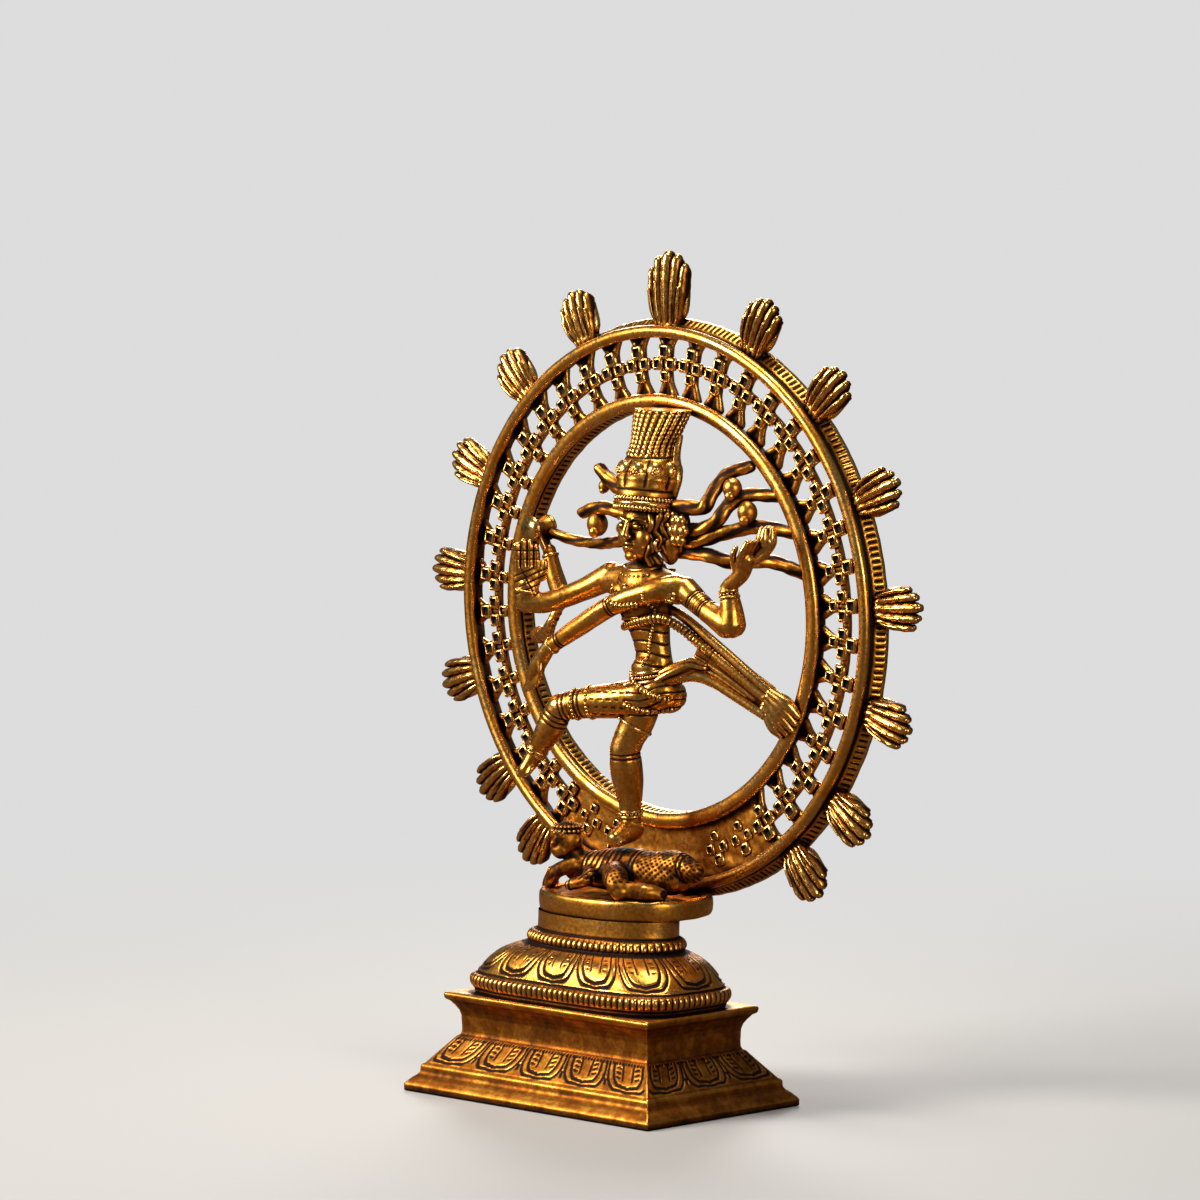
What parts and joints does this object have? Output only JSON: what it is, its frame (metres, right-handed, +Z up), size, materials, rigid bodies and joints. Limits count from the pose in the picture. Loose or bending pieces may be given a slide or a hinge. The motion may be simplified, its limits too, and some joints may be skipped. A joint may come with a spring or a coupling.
{
  "type": "nataraja statue",
  "caption": "Cast brass statue of a dancing four-armed figure on a dwarf inside a pierced ring of flames, on a lotus pedestal and a rectangular plinth.",
  "frame": {"origin": "centre of the plinth's foot, on the surface that the statue stands on", "axes": "+Z up, the figure faces -Y, +X to the viewer's right"},
  "size_m": [0.187, 0.0582, 0.23],
  "materials": {
    "plinth_brass": "smooth orange-gold polished cast brass with brown patina in the engraving",
    "pedestal_brass": "cast brass with engraved petals, black patina in the cuts",
    "dais_brass": "bright rubbed brass edge over a dark dished floor",
    "rim_brass": "polished front bead, hammered band, dark milled teeth",
    "openwork_brass": "rough cast brass with bright stud edges and black hollows",
    "flame_brass": "grooved cast brass, bright ridges and dark grooves",
    "figure_brass": "rubbed cast brass with dark patina round bands and folds",
    "dwarf_brass": "rough cast brass with heavy dark patina",
    "dark_brass": "darker cast brass, little rubbed",
    "fixing_steel": "plain zinc-plated steel"
  },
  "bodies": {
    "root": {"arm_bands": "figure_brass", "arm_cobra": "dark_brass", "belt": "figure_brass", "crown": "figure_brass", "dais": "dais_brass", "dais_leaf": "dais_brass", "drum": "figure_brass", "dwarf_arm": "dwarf_brass", "dwarf_body": "dwarf_brass", "dwarf_head": "dwarf_brass", "dwarf_legs": "dwarf_brass", "ears": "figure_brass", "flame_left_1": "flame_brass", "flame_left_2": "flame_brass", "flame_left_3": "flame_brass", "flame_left_4": "flame_brass", "flame_left_5": "flame_brass", "flame_left_6": "flame_brass", "flame_left_7": "flame_brass", "flame_right_1": "flame_brass", "flame_right_2": "flame_brass", "flame_right_3": "flame_brass", "flame_right_4": "flame_brass", "flame_right_5": "flame_brass", "flame_right_6": "flame_brass", "flame_right_7": "flame_brass", "flame_top": "flame_brass", "front_left_arm": "figure_brass", "front_right_arm": "figure_brass", "hair_locks_left": "dark_brass", "hair_locks_right": "dark_brass", "hand_flame": "figure_brass", "head": "figure_brass", "headband": "figure_brass", "hips": "figure_brass", "inner_rim": "rim_brass", "left_ear_flower": "dark_brass", "leg_bands": "figure_brass", "lock_flowers": "dark_brass", "lotus_pedestal": "pedestal_brass", "neck_curls": "dark_brass", "open_hand": "figure_brass", "openwork": "openwork_brass", "outer_rim": "rim_brass", "plinth": "plinth_brass", "raised_leg": "figure_brass", "rear_left_arm": "figure_brass", "rear_left_forearm": "figure_brass", "rear_left_hand": "figure_brass", "rear_right_arm": "figure_brass", "ring_pins": "rim_brass", "ring_web": "rim_brass", "sash": "dark_brass", "sash_tassel": "dark_brass", "standing_leg": "figure_brass", "tie_nut": "fixing_steel", "tie_rod": "fixing_steel", "tie_washer": "fixing_steel", "torso": "figure_brass"}
  },
  "joints": []
}
